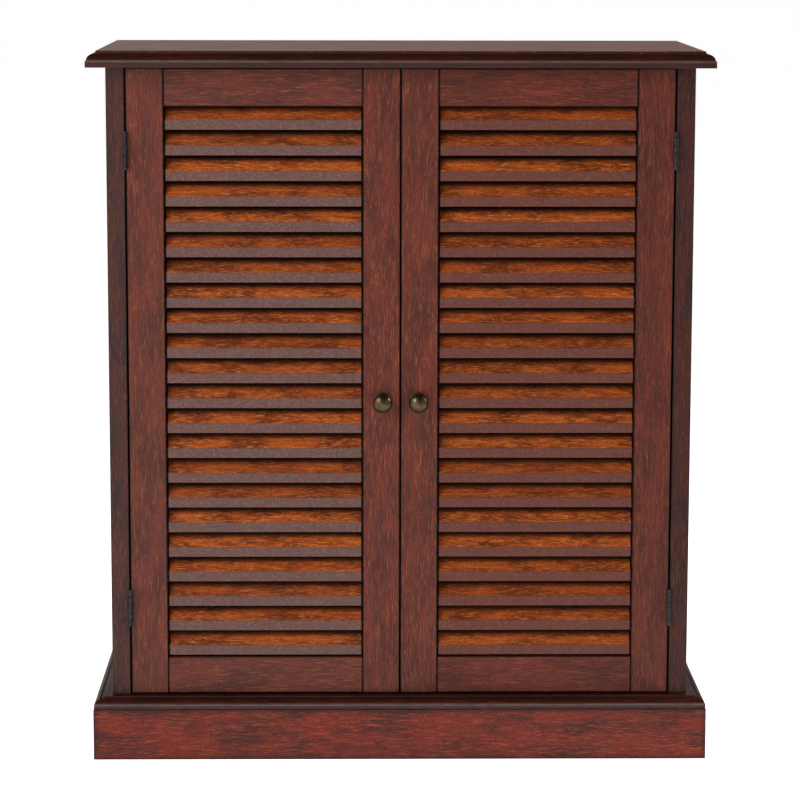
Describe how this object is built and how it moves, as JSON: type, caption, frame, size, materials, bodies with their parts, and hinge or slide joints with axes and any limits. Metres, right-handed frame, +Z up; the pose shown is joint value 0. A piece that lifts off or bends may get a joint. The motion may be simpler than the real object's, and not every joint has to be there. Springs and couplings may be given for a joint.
{
  "type": "shoe cabinet",
  "caption": "Louvre-door shoe cabinet in dark cherry-stained wood: moulded top, hinged slatted doors with round knobs, inner shelves and a plinth base.",
  "frame": {"origin": "on the floor, under the middle of the cabinet's footprint", "axes": "+X to the right seen from the front, +Y to the rear, +Z up; the doors face -Y"},
  "size_m": [0.838, 0.394, 0.965],
  "materials": {
    "case_wood": "dark cherry stain under satin lacquer, fine pores",
    "door_wood": "cherry stain under satin lacquer, grain along each member",
    "slat_wood": "cherry stain under satin lacquer, figured grain along the slat",
    "inner_wood": "cherry stain, thin matt lacquer",
    "back_plywood": "stained plywood face veneer, matt",
    "block_pine": "bare softwood",
    "dowel_beech": "bare beech",
    "hinge_steel": "dark antique steel, satin, brighter where worn",
    "knob_brass": "dark antique brass, polished on the crown",
    "screw_steel": "zinc plated",
    "catch_steel": "bright plated",
    "catch_plastic": "brown moulded plastic",
    "pin_steel": "nickel plated"
  },
  "bodies": {
    "cabinet": {"back_panel": "back_plywood", "back_panel_screws": "screw_steel", "base_board": "case_wood", "case_dowels": "dowel_beech", "catch_housing": "catch_plastic", "catch_magnets": "catch_steel", "catch_screws": "screw_steel", "hinge_frame_screws": "screw_steel", "left_front_stile": "case_wood", "left_lower_hinge_frame_leaf": "hinge_steel", "left_lower_hinge_pin": "hinge_steel", "left_side_panel": "case_wood", "left_upper_hinge_frame_leaf": "hinge_steel", "left_upper_hinge_pin": "hinge_steel", "plinth_corner_blocks": "block_pine", "plinth_front_board": "case_wood", "plinth_left_board": "case_wood", "plinth_rear_board": "case_wood", "plinth_right_board": "case_wood", "plinth_screws": "screw_steel", "right_front_stile": "case_wood", "right_lower_hinge_frame_leaf": "hinge_steel", "right_lower_hinge_pin": "hinge_steel", "right_side_panel": "case_wood", "right_upper_hinge_frame_leaf": "hinge_steel", "right_upper_hinge_pin": "hinge_steel", "shelf_1": "inner_wood", "shelf_2": "inner_wood", "shelf_3": "inner_wood", "shelf_4": "inner_wood", "shelf_pins": "pin_steel", "top_fixing_screws": "screw_steel", "top_front_rail": "inner_wood", "top_panel": "case_wood", "top_rear_rail": "inner_wood"},
    "left_door": {"left_door_bottom_rail": "door_wood", "left_door_hinge_screws": "screw_steel", "left_door_hinge_stile": "door_wood", "left_door_knob": "knob_brass", "left_door_knob_screw": "screw_steel", "left_door_meeting_stile": "door_wood", "left_door_slats": "slat_wood", "left_door_strike_plate": "catch_steel", "left_door_strike_screw": "screw_steel", "left_door_top_rail": "door_wood", "left_lower_hinge_door_leaf": "hinge_steel", "left_upper_hinge_door_leaf": "hinge_steel"},
    "right_door": {"right_door_bottom_rail": "door_wood", "right_door_hinge_screws": "screw_steel", "right_door_hinge_stile": "door_wood", "right_door_knob": "knob_brass", "right_door_knob_screw": "screw_steel", "right_door_meeting_stile": "door_wood", "right_door_slats": "slat_wood", "right_door_strike_plate": "catch_steel", "right_door_strike_screw": "screw_steel", "right_door_top_rail": "door_wood", "right_lower_hinge_door_leaf": "hinge_steel", "right_upper_hinge_door_leaf": "hinge_steel"}
  },
  "joints": [
    {"name": "left_door_hinge", "type": "hinge", "parent": "cabinet", "child": "left_door", "pos_m": [-0.3683, -0.1753, 0.519], "axis": [0, 0, -1], "range_deg": [0, 175]},
    {"name": "right_door_hinge", "type": "hinge", "parent": "cabinet", "child": "right_door", "pos_m": [0.3683, -0.1753, 0.519], "axis": [0, 0, 1], "range_deg": [0, 175]}
  ]
}
